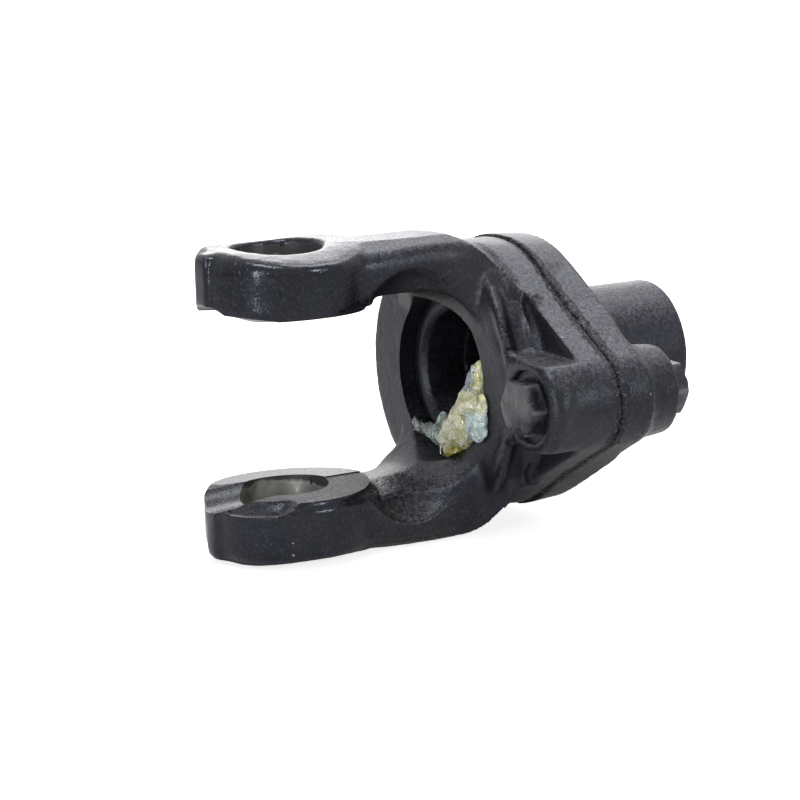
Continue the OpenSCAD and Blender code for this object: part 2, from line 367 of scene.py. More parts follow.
def makeForgingPaint():
    # glossy black paint over the grain of a forging, dusty and painted lighter where it faces up
    look = {
        "dark": (0.0024, 0.0025, 0.0042), "pale": (0.0070, 0.0072, 0.0102), "warm": (0.010, 0.0098, 0.0092),
        "dustAndSheen": (0.125, 0.125, 0.142), "speck": (0.4, 0.41, 0.45), "scale": (0.085, 0.086, 0.093),
        "grain": 1700.0, "grainDepth": 0.00011, "lumps": 720.0, "lumpDepth": 0.00022,
        "pits": 640.0, "pitDepth": 0.00012, "joint": 0.0855, "narrow": 0.0007, "wide": 0.0028,
        "tornDepth": 0.0012, "earGloss": 0.16, "armGloss": 0.26, "tint": (0.80, 0.85, 1.0, 1.0),
    }
    f = Finish("forgingPaint")
    broad = f.noise(38, 3)
    grain = f.noise(look["grain"], 3, 0.62)
    lumps = f.noise(look["lumps"], 3, 0.6)
    uneven = f.warped(500, 0.0016)
    pits = f.cells(look["pits"], place=uneven)
    colour = f.mix(f.ramp(broad, 0.35, 0.65), look["dark"], look["pale"])
    colour = f.mix(f.ramp(f.noise(24, 2), 0.5, 0.68), colour, look["warm"])
    skin = f.maths("ADD", grain, lumps)
    colour = f.mix(f.ramp(skin, 1.02, 1.2, 0.0, 0.15), colour, look["scale"])
    # faces that look up are painted lighter: partly real dust, partly a painted sheen for the light from
    # above, with less of both on the ears
    up = f.ramp(f.facing(2), 0.3, 0.98)
    dustAndSheen = f.maths("MULTIPLY", up, f.ramp(skin, 0.78, 1.22))
    dustAndSheen = f.maths("MULTIPLY", dustAndSheen, f.ramp(broad, 0.2, 0.7, 0.6, 1.0))
    dustAndSheen = f.maths("MULTIPLY", dustAndSheen, f.ramp(f.part(1), 0.005, 0.04, 0.3, 1.0))
    colour = f.mix(f.maths("MULTIPLY", dustAndSheen, 0.72), colour, look["dustAndSheen"])

    # scattered bright specks, and the rough skin of paint along the joint of the flanges
    chance = f.add("ShaderNodeSeparateColor", {0: f.cells(260, "Color", place=uneven)}).outputs[0]
    near = f.ramp(f.cells(260, place=uneven), 0.04, 0.12, 1.0, 0.0)
    speck = f.maths("MULTIPLY", near, f.ramp(chance, 0.9, 0.95))
    colour = f.mix(f.maths("MULTIPLY", speck, 0.6), colour, look["speck"])
    gap = f.maths("ABSOLUTE", f.maths("SUBTRACT", f.part(1), look["joint"]))
    width = f.ramp(f.part(0), 0.0, 0.05, look["narrow"], look["wide"])
    band = f.maths("ADD", f.maths("DIVIDE", gap, width), f.maths("MULTIPLY", lumps, 1.2))
    band = f.ramp(band, 1.75, 1.35)
    torn = f.noise(620, 4, 0.62, f.warped(260, 0.004))
    colour = f.mix(f.maths("MULTIPLY", band, f.ramp(torn, 0.5, 0.44)), colour, look["dark"])
    colour = f.mix(f.maths("MULTIPLY", band, f.ramp(torn, 0.55, 0.66, 0.0, 0.8)), colour, look["scale"])
    rough = f.ramp(f.part(1), 0.02, 0.060, look["earGloss"], look["armGloss"])
    rough = f.maths("ADD", rough, f.ramp(broad, 0.3, 0.7, 0.0, 0.07))
    rough = f.maths("ADD", rough, f.maths("MULTIPLY", dustAndSheen, 0.1))
    rough = f.maths("ADD", rough, f.maths("MULTIPLY", band, 0.2))
    # the ears' sides are smoother than the arms and the flanges
    smooth = f.ramp(f.part(1), 0.0, 0.035, 0.25, 1.0)
    normal = f.bump(f.maths("MULTIPLY", lumps, smooth), look["lumpDepth"])
    normal = f.bump(f.ramp(pits, 0.0, 0.35), look["pitDepth"], 0.5, normal)
    normal = f.bump(f.maths("MULTIPLY", torn, band), look["tornDepth"], 1.0, normal)
    normal = f.bump(f.maths("MULTIPLY", grain, smooth), look["grainDepth"], 1.0, normal)
    # the blue specular tint is a painted colour on the reflections, standing in for the bluish light of the
    # highlights
    return f.wire(Base_Color=colour, Roughness=rough, Normal=normal, Specular_IOR_Level=0.32,
                  Specular_Tint=look["tint"])


def makeMilledPaint():
    # milled faces under a thin coat of the same paint, matte and finely speckled
    look = {"dark": (0.014, 0.014, 0.016), "pale": (0.125, 0.125, 0.133), "marks": 0.0003}
    f = Finish("milledPaint")
    grain = f.noise(1250, 3, 0.7)
    cloud = f.noise(90, 3)
    colour = f.mix(f.ramp(grain, 0.38, 0.62), look["dark"], look["pale"])
    colour = f.mix(f.ramp(cloud, 0.4, 0.75, 0.0, 0.4), colour, look["dark"])
    normal = f.bump(grain, look["marks"])
    return f.wire(Base_Color=colour, Roughness=0.5, Normal=normal, Specular_IOR_Level=0.2)


def makeBoreSteel():
    # bored steel with paint that reached in from the rims
    look = {
        "steel": (0.5, 0.49, 0.47), "mist": (0.018, 0.018, 0.021), "oil": (0.3, 0.27, 0.2),
        "uneven": 0.008, "rim": (0.0465, 0.050), "inner": (0.0375, 0.0355),
    }
    f = Finish("boreSteel")
    # tool marks run round the bore, so they change along Z alone
    stretched = f.add("ShaderNodeMapping", {"Vector": f.place, "Scale": (60, 60, 2600)}).outputs[0]
    rings = f.noise(1.0, 2, 0.5, stretched)
    streaks = f.add("ShaderNodeMapping", {"Vector": f.place, "Scale": (110, 110, 45)}).outputs[0]
    mist = f.noise(1.0, 3, 0.6, streaks)
    speckle = f.noise(1400, 3, 0.7)
    height = f.maths("ABSOLUTE", f.part(2))
    height = f.maths("ADD", height, f.maths("MULTIPLY", mist, look["uneven"]))
    rim = f.ramp(height, *look["rim"])
    inner = f.ramp(height, *look["inner"])
    cover = f.maths("MAXIMUM", f.ramp(mist, 0.5, 0.85, 0.1, 0.9), f.maths("MAXIMUM", rim, inner))
    cover = f.maths("MULTIPLY", cover, f.ramp(speckle, 0.16, 0.34))
    colour = f.mix(f.ramp(f.noise(120, 2), 0.5, 0.7), look["steel"], look["oil"])
    colour = f.mix(cover, colour, look["mist"])
    metal = f.ramp(cover, 0.0, 1.0, 1.0, 0.0)
    rough = f.ramp(cover, 0.0, 1.0, 0.36, 0.5)
    normal = f.bump(rings, 0.00003, 0.6)
    normal = f.bump(speckle, 0.00005, 0.6, normal)
    return f.wire(Base_Color=colour, Metallic=metal, Roughness=rough, Normal=normal)


def makeBoltPaint():
    # black fastener with rubbed corners and a dusty face
    look = {
        "black": (0.014, 0.014, 0.017), "rubbed": (0.06, 0.06, 0.066), "dustAndSheen": (0.2, 0.2, 0.215),
        "axis": 0.059, "corner": (0.0096, 0.0101),
    }
    f = Finish("boltPaint")
    grain = f.noise(900, 3, 0.6)
    broad = f.noise(220, 3)
    front = f.ramp(f.facing(1), -0.9, -0.99)
    colour = f.mix(f.ramp(broad, 0.35, 0.7), look["black"], look["rubbed"])
    colour = f.mix(f.maths("MULTIPLY", front, 0.08), colour, look["dustAndSheen"])
    colour = f.mix(f.ramp(f.noise(500, 3, 0.7), 0.62, 0.72, 0.0, 0.5), colour, look["dustAndSheen"])
    # corners lie at the corner radius from the bolt's own axis
    away = f.maths("POWER", f.maths("SUBTRACT", f.part(0), look["axis"]), 2.0)
    away = f.maths("SQRT", f.maths("ADD", away, f.maths("POWER", f.part(2), 2.0)))
    worn = f.ramp(f.maths("ADD", away, f.maths("MULTIPLY", grain, 0.0008)), *look["corner"])
    colour = f.mix(f.maths("MULTIPLY", worn, 0.35), colour, look["dustAndSheen"])
    normal = f.bump(grain, 0.00008, 0.9)
    rough = f.ramp(broad, 0.3, 0.7, 0.24, 0.38)
    return f.wire(Base_Color=colour, Roughness=rough, Normal=normal, Specular_IOR_Level=0.35)


def makeSeamGrit():
    # dry paint and dirt that fill the joint
    look = {"dark": (0.006, 0.006, 0.006), "pale": (0.09, 0.09, 0.09)}
    f = Finish("seamGrit")
    grain = f.noise(800, 4, 0.7)
    colour = f.mix(f.ramp(grain, 0.45, 0.68), look["dark"], look["pale"])
    normal = f.bump(grain, 0.00025)
    return f.wire(Base_Color=colour, Roughness=0.75, Normal=normal, Specular_IOR_Level=0.25)


def makeSpringSteel():
    # bright drawn wire with an oily film
    look = {"bright": (0.55, 0.54, 0.52), "oily": (0.22, 0.2, 0.15)}
    f = Finish("springSteel")
    streak = f.noise(300, 4)
    colour = f.mix(f.ramp(streak, 0.4, 0.65), look["bright"], look["oily"])
    normal = f.bump(f.noise(1800, 2), 0.00002)
    rough = f.ramp(streak, 0.3, 0.7, 0.25, 0.42)
    return f.wire(Base_Color=colour, Metallic=1.0, Roughness=rough, Normal=normal)


def makeGrease():
    # old wet grease, cream with teal and olive places, in folds with fine pale threads
    look = {
        "cream": (0.5, 0.5, 0.3), "khaki": (0.3, 0.29, 0.13), "teal": (0.08, 0.17, 0.155),
        "olive": (0.17, 0.155, 0.015), "blue": (0.1, 0.15, 0.19), "white": (0.8, 0.82, 0.74),
        "ice": (0.34, 0.45, 0.46), "shade": (0.012, 0.022, 0.024), "yellow": (0.6, 0.6, 0.28),
        "dropX": 0.0118, "dropZ": -0.0242, "dropWide": 0.0054, "dropHigh": 0.0030,
        "threadDepth": 0.0005, "foldDepth": 0.0012,
    }
    f = Finish("wetGrease")
    swirl = f.noise(170, 4, 0.6)
    folds = f.noise(420, 4, 0.65)
    threads = f.cells(330, "Distance", "DISTANCE_TO_EDGE", f.warped(240, 0.005))
    x = f.maths("ADD", f.part(0), f.maths("MULTIPLY", swirl, 0.008))
    z = f.maths("ADD", f.part(2), f.maths("MULTIPLY", swirl, 0.005))
    colour = f.mix(f.ramp(f.noise(230, 3), 0.38, 0.62), look["cream"], look["khaki"])
    # teal and shade on the left, ice on the right and a blue tongue with a yellow edge at the top
    left = f.ramp(x, 0.0085, 0.0035)
    colour = f.mix(f.maths("MULTIPLY", left, 0.92), colour, look["teal"])
    shade = f.ramp(x, 0.001, -0.004)
    colour = f.mix(f.maths("MULTIPLY", shade, 0.9), colour, look["shade"])
    right = f.maths("MULTIPLY", f.ramp(x, 0.0250, 0.0285), f.ramp(z, -0.003, -0.007))
    colour = f.mix(right, colour, look["ice"])
    tongue = f.maths("MULTIPLY", f.ramp(z, 0.0, 0.002), f.ramp(x, 0.0295, 0.0285))
    colour = f.mix(f.maths("MULTIPLY", tongue, 0.92), colour, look["blue"])
    edge = f.maths("MULTIPLY", f.ramp(z, -0.001, 0.001), f.ramp(x, 0.0292, 0.0302))
    colour = f.mix(f.maths("MULTIPLY", edge, 0.7), colour, look["yellow"])
    # the olive drop at the bottom
    aside = f.maths("DIVIDE", f.maths("SUBTRACT", f.part(0), look["dropX"]), look["dropWide"])
    above = f.maths("DIVIDE", f.maths("SUBTRACT", f.part(2), look["dropZ"]), look["dropHigh"])
    away = f.maths("ADD", f.maths("POWER", aside, 2.0), f.maths("POWER", above, 2.0))
    inDrop = f.ramp(away, 1.25, 0.85)
    colour = f.mix(inDrop, colour, look["olive"])
    bare = f.maths("MULTIPLY", f.ramp(inDrop, 0.3, 0.6, 1.0, 0.0), f.ramp(shade, 0.0, 1.0, 1.0, 0.35))
    milky = f.maths("MULTIPLY", f.ramp(folds, 0.52, 0.66, 0.0, 0.7), bare)
    colour = f.mix(milky, colour, look["white"])
    lines = f.maths("MULTIPLY", f.ramp(threads, 0.05, 0.015, 0.0, 0.8), bare)
    lines = f.maths("MULTIPLY", lines, f.ramp(f.noise(150, 2), 0.42, 0.55))
    colour = f.mix(lines, colour, look["white"])
    drawn = f.maths("MULTIPLY", f.ramp(threads, 0.0, 0.1, 1.0, 0.0), bare)
    normal = f.bump(drawn, look["threadDepth"], 0.7)
    normal = f.bump(f.maths("MULTIPLY", folds, bare), look["foldDepth"], 1.0, normal)
    return f.wire(
        Base_Color=colour, Roughness=0.14, Normal=normal, Coat_Weight=0.7, Coat_Roughness=0.05,
        Subsurface_Weight=0.3, Subsurface_Radius=(0.003, 0.003, 0.0015), Subsurface_Scale=0.6)


forgingPaint = makeForgingPaint()
milledPaint = makeMilledPaint()
boreSteel = makeBoreSteel()
boltPaint = makeBoltPaint()
seamGrit = makeSeamGrit()
springSteel = makeSpringSteel()
wetGrease = makeGrease()
print("materials ready")


# the two flanges share one teardrop outline, a little fuller than the CAD's between ring and lobe:
# the tables give by how many mm, at each number of degrees from the lobe
flangeSizes = {
    "ring": 0.0462, "lobe": 0.0174, "boltX": 0.059, "joint": 0.0855, "back": 0.0983, "innermost": 0.03,
    "atJoint": (
        (0, 0), (20, 0), (35, 0.3), (45, 0.9), (55, 1.35), (64, 1.4), (73, 1.1), (82, 0.6),
        (96, 0), (180, 0)),
    "atBack": (
        (0, 0), (14, 0.6), (26, 1.5), (41, 1.9), (50, 2), (56, 1.9), (63, 1.6), (73, 1.1),
        (82, 0.6), (96, 0), (180, 0)),
    "yokeFrom": (0.070, 0.082), "hubUntil": (0.0988, 0.102),
}
milli = 0.001


def outlineRadius(degrees, sizes):
    # distance from the shaft's axis to the teardrop, at an angle from the lobe
    ring, lobe, far = sizes["ring"], sizes["lobe"], sizes["boltX"]
    angle = math.radians(degrees)
    tangent = math.acos((ring - lobe) / far)
    if angle >= tangent:
        return ring
    line = ring / math.cos(angle - tangent)
    end = far + lobe * math.cos(tangent)
    if line * math.cos(angle) < end:
        return line
    return far * math.cos(angle) + math.sqrt(lobe ** 2 - (far * math.sin(angle)) ** 2)


def spreadFlange(piece, sizes, start=(0, 0.01), end=(1, 2)):
    # the growth sets in between the two levels of start, along Y, and fades out between those of end
    for vertex in piece.data.vertices:
        x, y, z = vertex.co
        share = fade(y, start[0], start[1]) * (1 - fade(y, end[0], end[1]))
        radius = math.hypot(x, z)
        if share == 0 or radius < sizes["innermost"]:
            continue
        degrees = abs(math.degrees(math.atan2(z, x)))
        edge = outlineRadius(degrees, sizes)
        back = min(1.0, max(0.0, (y - sizes["joint"]) / (sizes["back"] - sizes["joint"])))
        grow = readTable(sizes["atJoint"], degrees) * (1 - back)
        grow += readTable(sizes["atBack"], degrees) * back
        factor = 1 + grow * milli / radius * share * fade(radius / edge, 0.8, 0.95)
        vertex.co.x *= factor
        vertex.co.z *= factor


# fork yoke: a copy of its solid with a forging's rounds, then the machined faces are cut again
yokeSizes = {
    "voxel": 0.0008, "edgeRounds": 4, "wave": 0.00022, "waveSize": 0.004,
    "boreRadius": 0.0151, "earInner": 0.0293, "earBack": 0.0019, "earWide": 0.034, "halfStep": 0.0004,
    "draft": 5, "slope": 6, "slopeStart": 0.00813, "tip": 0.0283, "cover": 0.0025,
    "grooveX": -0.001, "grooveRadius": 0.021, "grooveDepth": 0.0049, "grooveFall": 4,
    # how far the cover of the ears' inner faces reaches: radius, back and depth
    "coverReach": (0.0298, 0.0285, 0.0065),
    # the round shoulder in front: its fall, its levels, radii and angles in degrees
    "shoulder": 0.0036, "shoulderLevels": (0.026, 0.036), "shoulderRing": (0.0205, 0.0296),
    "shoulderRim": (0.0215, 0.028), "shoulderTurn": (-88, -68, -34, -16),
    # where the ears' outer edges are rounded: levels along the bores, and how far back
    "edgeFrom": (0.0475, 0.0495), "edgeUntil": (0.02, 0.034), "earEdgeRounds": 24,
    "ringBore": 0.0286, "boltX": 0.059, "boltHole": 0.00525, "spotRadius": 0.012, "spotFloor": 0.0616,
    # a disc that fills the ring out on its far side: radius, x, start and end
    "disc": (0.0441, -0.003, 0.0618, 0.08),
    # fillets at each arm's root: centre, reach and rounds of smoothing
    "fillets": [
        ((0.029, 0.056, 0.029), (0.012, 0.011, 0.016), 40),
        ((0.036, 0.058, 0.017), (0.009, 0.009, 0.012), 30),
        ((-0.028, 0.052, 0.031), (0.013, 0.012, 0.014), 30),
        ((0.0, 0.05, 0.033), (0.034, 0.022, 0.012), 16),
    ],
    # the crease between ear and arm, on both sides of each arm
    "crease": ((0.0255, 0.0155, 0.042), (0.008, 0.009, 0.014), 30),
    "lowerTip": ((0, -0.0275, -0.0475), (0.017, 0.008, 0.013), 60),
    "nearFront": ((0.018, -0.014, 0.0325), (0.014, 0.016, 0.006), 6),
    # regions pushed over to the photo's outline: centre, reach and shift
    "armBack": ((0.016, 0.048, 0.050), (0.026, 0.040, 0.016), (0.0004, 0, 0.0019)),
    "lowerRoot": ((-0.030, 0.048, -0.036), (0.016, 0.018, 0.016), (-0.0012, -0.0014, 0.0014)),
    # ridges on the side of the bolt: points of the crest, width and rise
    "frontRidge": ([(0.0287, 0.0652, 0.0366), (0.0384, 0.0626, 0.0262), (0.0422, 0.0620, 0.0195),
                    (0.0444, 0.0625, 0.0139)], 0.0042, 0.0014),
    "rearRidge": ([(0.0364, 0.0762, 0.0289), (0.0396, 0.0742, 0.0244), (0.0420, 0.0729, 0.0199),
                   (0.0439, 0.0719, 0.0154)], 0.0032, 0.0013),
    "lobeRidge": ([(0.0733, 0.0667, 0.0092), (0.0744, 0.0656, 0.0072), (0.0757, 0.0647, 0.0033),
                   (0.0759, 0.0641, -0.0015)], 0.0030, 0.0005),
    # how the front and the rear ones are smoothed: centre, reach and rounds
    "ridgeRounds": [
        ((0.0370, 0.0640, 0.0255), (0.016, 0.009, 0.018), 5),
        ((0.0400, 0.0741, 0.0223), (0.010, 0.008, 0.013), 4),
    ],
}


def mirrored(place, x=1, z=1):
    return (x * place[0], place[1], z * place[2])


def earCutters(sizes):
    # the milled half, the drafted half, the entry slope and its groove, for the upper ear's inner face
    reach, inner, wide = sizes["tip"] + 0.002, sizes["earInner"], sizes["earWide"]
    half = addBox((sizes["halfStep"], -reach, inner - 0.006), (wide, wide, inner))
    drafted = addBox((-wide, -reach, inner - 0.009), (0.0, wide, inner - sizes["halfStep"]))
    for vertex in drafted.data.vertices:
        if vertex.co.z > inner - 0.001:
            vertex.co.z += -vertex.co.x * math.tan(math.radians(sizes["draft"]))
    land = addBox((-0.0005, -reach, inner - 0.006), (0.0006, wide, inner - sizes["halfStep"]))
    slope = addBox((-wide, -0.036, inner - 0.012), (wide, 0, inner))
    lean = Matrix.Rotation(math.radians(-sizes["slope"]), 4, "X")
    onEdge = Matrix.Translation((0, -sizes["slopeStart"], inner))
    slope.data.transform(onEdge @ lean @ Matrix.Translation((0, 0, -inner)))
    groove = addCylinder(sizes["grooveRadius"], -0.0288, 0.0085, z=-sizes["grooveRadius"], vertices=160)
    deep = Vector((sizes["grooveX"], -sizes["boreRadius"], inner + sizes["grooveDepth"]))
    fall = Matrix.Rotation(math.radians(-sizes["grooveFall"]), 4, "X")
    groove.data.transform(Matrix.Translation(deep) @ fall)
    return [half, drafted, land, slope, groove]


def coverEars(yoke, sizes):
    # faces inside the ears are raised first, so that the rounding stays off their edges
    inner = sizes["earInner"]
    radius, back, deep = sizes["coverReach"]
    for side in (-1, 1):
        def isInner(centre, normal):
            level = -side * centre.z
            away = math.hypot(centre.x, centre.y - sizes["earBack"])
            return (normal.z * side > 0.7 and inner - 0.001 < level < inner + deep
                    and away < radius and centre.y < back)
        print("ear faces", selectFaces(yoke, isInner))
        bpy.ops.mesh.extrude_region_move(TRANSFORM_OT_translate={"value": (0, 0, side * sizes["cover"])})
        bpy.ops.object.mode_set(mode="OBJECT")


def dropShoulder(yoke, sizes):
    # the near front edge of both ears' inner faces falls away in a round shoulder
    rise = math.tan(math.radians(sizes["slope"]))
    low, high = sizes["shoulderLevels"]
    near, far = sizes["shoulderRing"]
    turn = sizes["shoulderTurn"]
    for vertex in yoke.data.vertices:
        x, y, z = vertex.co
        level = abs(z)
        radius = math.hypot(x, y - sizes["earBack"])
        if x < 0 or y > 0.008 or not low < level < high or not near < radius < far:
            continue
        angle = math.degrees(math.atan2(y - sizes["earBack"], x))
        window = (1 - fade(angle, turn[2], turn[3])) * fade(angle, turn[0], turn[1])
        plane = sizes["earInner"] + max(0, -sizes["slopeStart"] - y) * rise
        deep = sizes["shoulder"] if z < 0 else sizes["shoulder"] / 2
        target = plane - 0.0003 + deep * fade(radius, *sizes["shoulderRim"]) * window
        if window > 0 and level < target:
            vertex.co.z = math.copysign(target, z)


def raiseRidges(yoke, sizes):
    for z in (-1, 1):
        for ridge in ("frontRidge", "rearRidge"):
            points, width, rise = sizes[ridge]
            raiseRib(yoke, [mirrored(point, z=z) for point in points], width, rise)
    raiseRib(yoke, *sizes["lobeRidge"])
    for z in (-1, 1):
        for centre, reach, rounds in sizes["ridgeRounds"]:
            soften(yoke, mirrored(centre, z=z), reach, rounds)


def roundForging(yoke, sizes):
    applyModifier(yoke, "REMESH", mode="VOXEL", voxel_size=sizes["voxel"])
    applyModifier(yoke, "SMOOTH", factor=0.5, iterations=sizes["edgeRounds"])
    print("yoke remeshed,", len(yoke.data.polygons))
    for z in (-1, 1):
        for centre, reach, rounds in sizes["fillets"]:
            soften(yoke, mirrored(centre, z=z), reach, rounds)
        centre, reach, shift = sizes["armBack"]
        pushOut(yoke, mirrored(centre, z=z), reach, mirrored(shift, z=z))
        centre, reach, rounds = sizes["crease"]
        for x in (-1, 1):
            soften(yoke, mirrored(centre, x, z), reach, rounds)

    def onEarEdge(place):
        return fade(abs(place.z), *sizes["edgeFrom"]) * (1 - fade(place.y, *sizes["edgeUntil"]))
    softenWhere(yoke, onEarEdge, sizes["earEdgeRounds"])
    soften(yoke, *sizes["lowerTip"])
    dropShoulder(yoke, sizes)
    centre, reach, rounds = sizes["nearFront"]
    for z in (-1, 1):
        soften(yoke, mirrored(centre, z=z), reach, rounds)
    pushOut(yoke, *sizes["lowerRoot"])
    spreadFlange(yoke, flangeSizes, start=flangeSizes["yokeFrom"])
    raiseRidges(yoke, sizes)
    ripple(yoke, "forgingWave", sizes["waveSize"], sizes["wave"])


def cutMachinedFaces(yoke, sizes):
    # the upper ear's cutters turn over in X, and the lower ear's in Z
    for across in ((1, 0, 0), (0, 0, 1)):
        for tool in earCutters(sizes):
            tool.data.transform(Matrix.Scale(-1, 4, across))
            tool.data.flip_normals()
            cutAway(yoke, tool)
    bpy.ops.object.select_all(action="DESELECT")
    bpy.ops.mesh.primitive_cylinder_add(vertices=160, radius=sizes["boreRadius"], depth=0.12)
    cutAway(yoke, bpy.context.active_object)
    cutAway(yoke, addCylinder(sizes["ringBore"], 0.04, 0.09, vertices=160))
    cutAway(yoke, addCylinder(sizes["boltHole"], 0.05, 0.09, x=sizes["boltX"], vertices=48))
    cutAway(yoke, addCylinder(sizes["spotRadius"], 0.05, sizes["spotFloor"], x=sizes["boltX"]))


def paintYoke(yoke, sizes):
    # painted all over, then the milled flats and the bores get their own finish
    giveMaterials(yoke, forgingPaint, milledPaint, boreSteel)
    bored = milled = 0
    inner = sizes["earInner"]
    steep = math.cos(math.radians(sizes["slope"]))
    fall = math.radians(sizes["grooveFall"])
    along = Vector((0, math.cos(fall), -math.sin(fall)))
    axisLevel = inner + sizes["grooveDepth"] - sizes["grooveRadius"]
    for face in yoke.data.polygons:
        centre, normal = face.center, face.normal
        away = math.hypot(centre.x, centre.y)
        level = abs(centre.z)
        if away < sizes["boreRadius"] + 0.00003 and level > 0.02 and abs(normal.z) < 0.3:
            face.material_index = 2
            bored += 1
        elif inner - 0.0006 < level < 0.037 and away < 0.031 and normal.z * centre.z < 0:
            flat = abs(level - inner) < 0.00002 and centre.x * centre.z < 0
            sloped = abs(abs(normal.z) - steep) < 0.0004 and centre.y < -0.005
            across = (-centre.x if centre.z > 0 else centre.x) - sizes["grooveX"]
            reach = Vector((across, centre.y + sizes["boreRadius"], level - axisLevel))
            grooved = abs((reach - reach.dot(along) * along).length - sizes["grooveRadius"]) < 0.00012
            if flat or (sloped and not grooved):
                face.material_index = 1
                milled += 1
    print("bored", bored, "milled", milled)


def buildYoke(sizes):
    yoke = copyNode("fork_yoke", "forgedYoke")
    coverEars(yoke, sizes)
    radius, x, start, end = sizes["disc"]
    yoke = joinPieces([yoke, addCylinder(radius, start, end, x=x, vertices=160)], "forgedYoke")
    roundForging(yoke, sizes)
    keepInside(yoke, "fork_yoke")
    cutMachinedFaces(yoke, sizes)
    paintYoke(yoke, sizes)
    smoothShade(yoke)
    finishPiece(yoke, "forging", "fork_yoke")


buildYoke(yokeSizes)


# splined hub: the same treatment, with its bore, recess and spline cut again
hubSizes = {
    "voxel": 0.0008, "edgeRounds": 3, "wave": 0.0002, "waveSize": 0.0045,
    "journal": 0.0675, "mouth": 0.0243, "mouthDepth": 0.0023, "recess": 0.022, "recessEnd": 0.095,
    "end": 0.1495, "minor": 0.0149, "major": 0.0175, "keyWidth": 0.0087, "over": 0.0001,
    "boltX": 0.059, "boltHole": 0.00525, "nutSeat": 0.110, "spot": 0.0115,
    # where the barrel and the rear boss run into the flange: centre, reach and rounds of smoothing
    "barrelRoot": ((0.036, 0.100, 0), (0.02, 0.012, 0.02), 30),
    "bossRoot": ((0.062, 0.0985, 0.0165), (0.016, 0.010, 0.008), 40),
}


def cutHub(hub, sizes):
    # front recess, six-key spline, bolt hole and nut seat
    front, over = sizes["journal"], sizes["over"]
    cutAway(hub, addCylinder(sizes["mouth"], front - 0.002, front + over, vertices=128))
    cutAway(hub, addCylinder(sizes["mouth"], front, front + sizes["mouthDepth"], vertices=128,
                             endRadius=sizes["recess"]))
    cutAway(hub, addCylinder(sizes["recess"] + over, front, sizes["recessEnd"] + over, vertices=128))
    cutAway(hub, addCylinder(sizes["minor"] + over, 0.09, sizes["end"] + 0.001))
    half = sizes["keyWidth"] / 2
    for turn in (0, 60, 120):
        key = addBox((-sizes["major"], 0.09, -half), (sizes["major"], 0.152, half))
        cutAway(key, addCylinder(sizes["major"], 0.089, 0.153), "INTERSECT")
        key.data.transform(Matrix.Rotation(math.radians(turn), 4, "Y"))
        cutAway(hub, key)
    cutAway(hub, addCylinder(sizes["boltHole"], 0.08, 0.115, x=sizes["boltX"], vertices=48))
    cutAway(hub, addCylinder(sizes["spot"], sizes["nutSeat"] - 0.0004, 0.114, x=sizes["boltX"]))


def buildHub(sizes):
    hub = copyNode("splined_hub", "splinedHub")
    applyModifier(hub, "REMESH", mode="VOXEL", voxel_size=sizes["voxel"])
    applyModifier(hub, "SMOOTH", factor=0.5, iterations=sizes["edgeRounds"])
    soften(hub, *sizes["barrelRoot"])
    spreadFlange(hub, flangeSizes, end=flangeSizes["hubUntil"])
    centre, reach, rounds = sizes["bossRoot"]
    for z in (-1, 1):
        soften(hub, mirrored(centre, z=z), reach, rounds)
    ripple(hub, "hubWave", sizes["waveSize"], sizes["wave"])
    keepInside(hub, "splined_hub")
    cutHub(hub, sizes)
    giveMaterials(hub, forgingPaint)
    smoothShade(hub)
    finishPiece(hub, "forging", "splined_hub")


buildHub(hubSizes)


# shear bolt and its nut
boltSizes = {
    "x": 0.059, "flats": 0.017, "headFront": 0.0552, "seat": 0.0616, "tip": 0.1216, "radius": 0.0049,
    "pitch": 0.0015, "threadFrom": 0.105, "coreGap": 0.0008, "tipBevel": 0.0006, "bevel": 0.00025,
    "nutFront": 0.110, "nutBack": 0.118, "nutBore": 0.00505, "nutChamfer": 0.006,
    "facePart": 0.492, "chamfer": 26,
}


def hexagonBody(front, back, sizes, bothEnds):
    # a hexagonal bar whose corners are turned down at the front, or at both ends
    corner = sizes["flats"] / 2 / math.cos(math.radians(30))
    bpy.ops.object.select_all(action="DESELECT")
    bpy.ops.mesh.primitive_cylinder_add(
        vertices=6, radius=corner, depth=back - front,
        location=(sizes["x"], (front + back) / 2, 0), rotation=(math.pi / 2, math.pi / 6, 0))
    body = bpy.context.active_object
    settle(body)
    applyModifier(body, "BEVEL", width=sizes["bevel"], segments=2, limit_method="ANGLE", angle_limit=0.6)
    face = sizes["facePart"] * sizes["flats"]
    fall = (corner - face) * math.tan(math.radians(sizes["chamfer"]))
    outer = corner + 0.0002
    turned = addCylinder(outer, front + fall, back - (fall if bothEnds else 0), x=sizes["x"])
    ends = [(-1, front)] + ([(1, back)] if bothEnds else [])
    for way, level in ends:
        selectFaces(turned, lambda centre, normal: normal.y * way > 0.9)
        bpy.ops.mesh.extrude_region_move(TRANSFORM_OT_translate={"value": (0, way * fall, 0)})
        share = face / outer
        bpy.ops.transform.resize(value=(share, 1, share), center_override=(sizes["x"], level, 0))
        bpy.ops.object.mode_set(mode="OBJECT")
    cutAway(body, turned, "INTERSECT")
    return body


